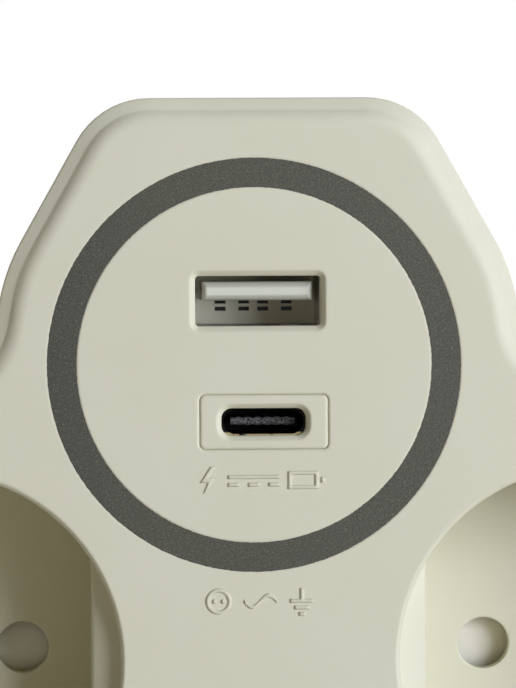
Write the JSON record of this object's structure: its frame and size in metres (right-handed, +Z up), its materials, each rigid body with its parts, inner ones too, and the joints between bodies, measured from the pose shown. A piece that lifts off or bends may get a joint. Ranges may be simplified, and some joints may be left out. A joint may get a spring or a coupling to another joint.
{
  "type": "three-way plug adapter",
  "caption": "Lobed mains adapter with round earthed socket wells, charging ports inside a grey ring on its stepped face, and an earthed pin plug at the rear.",
  "frame": {"origin": "centre of the plug's end, midway between the roots of the pins", "axes": "+X right and +Z up as seen from the front, +Y along the plug pins into the wall"},
  "size_m": [0.1164, 0.0795, 0.1164],
  "materials": {
    "ivory_moulding": "fine satin moulded texture",
    "grey_ring": "matt with a fine sparkle",
    "nickel_plate": "bright nickel plate",
    "contact_brass": "stamped brass",
    "board_laminate": "green lacquer",
    "zinc_steel": "zinc plate",
    "port_steel": "plated sheet",
    "black_plate": "black-plated sheet",
    "white_insulator": "satin",
    "black_insulator": "satin",
    "gold_contact": "gold flash",
    "ferrite": "sintered",
    "coil_tape": "yellow tape",
    "capacitor_sleeve": "shrink sleeve",
    "black_resin": "moulded resin",
    "resistor_coat": "lacquer",
    "tinned_strip": "tinned",
    "shutter_moulding": "satin",
    "keeper_moulding": "satin",
    "spring_steel": "drawn wire"
  },
  "bodies": {
    "adapter": {"board_screws": "zinc_steel", "bottom_earth_clip": "nickel_plate", "bottom_shutter_keeper": "keeper_moulding", "bottom_shutter_spring": "spring_steel", "bridge_rectifier": "black_resin", "charger_board": "board_laminate", "controller_chip": "black_resin", "cover_screws": "zinc_steel", "earth_bar": "contact_brass", "earth_rivets": "contact_brass", "face_ring": "grey_ring", "front_cover": "ivory_moulding", "fusible_resistor": "resistor_coat", "input_capacitor": "capacitor_sleeve", "left_earth_clip": "nickel_plate", "left_shutter_keeper": "keeper_moulding", "left_shutter_spring": "spring_steel", "line_bar": "contact_brass", "line_link": "tinned_strip", "line_pin": "nickel_plate", "neutral_bar": "contact_brass", "neutral_link": "tinned_strip", "neutral_pin": "nickel_plate", "output_capacitor": "capacitor_sleeve", "plug_earth_sleeve": "contact_brass", "plug_earth_strap": "nickel_plate", "rear_cover": "ivory_moulding", "right_earth_clip": "nickel_plate", "right_shutter_keeper": "keeper_moulding", "right_shutter_spring": "spring_steel", "slim_port_bezel": "ivory_moulding", "slim_port_contacts": "gold_contact", "slim_port_shell": "black_plate", "slim_port_tongue": "black_insulator", "transformer_core": "ferrite", "transformer_winding": "coil_tape", "wide_port_contacts": "gold_contact", "wide_port_shell": "port_steel", "wide_port_tongue": "white_insulator"},
    "left_shutter_rotor": {"left_shutter": "shutter_moulding"},
    "right_shutter_rotor": {"right_shutter": "shutter_moulding"},
    "bottom_shutter_rotor": {"bottom_shutter": "shutter_moulding"}
  },
  "joints": [
    {"name": "left_shutter_turn", "type": "hinge", "parent": "adapter", "child": "left_shutter_rotor", "pos_m": [-0.0342, -0.0395, 0], "axis": [0, 1, 0], "range_deg": [0, 42], "stiffness_Nm_per_rad": 0.002, "springref_deg": -20.05, "deforming": ["left_shutter_spring"]},
    {"name": "right_shutter_turn", "type": "hinge", "parent": "adapter", "child": "right_shutter_rotor", "pos_m": [0.0342, -0.0395, 0], "axis": [0, 1, 0], "range_deg": [0, 42], "stiffness_Nm_per_rad": 0.002, "springref_deg": -20.05, "deforming": ["right_shutter_spring"]},
    {"name": "bottom_shutter_turn", "type": "hinge", "parent": "adapter", "child": "bottom_shutter_rotor", "pos_m": [0, -0.0395, -0.0342], "axis": [0, 1, 0], "range_deg": [0, 42], "stiffness_Nm_per_rad": 0.002, "springref_deg": -20.05, "deforming": ["bottom_shutter_spring"]}
  ]
}
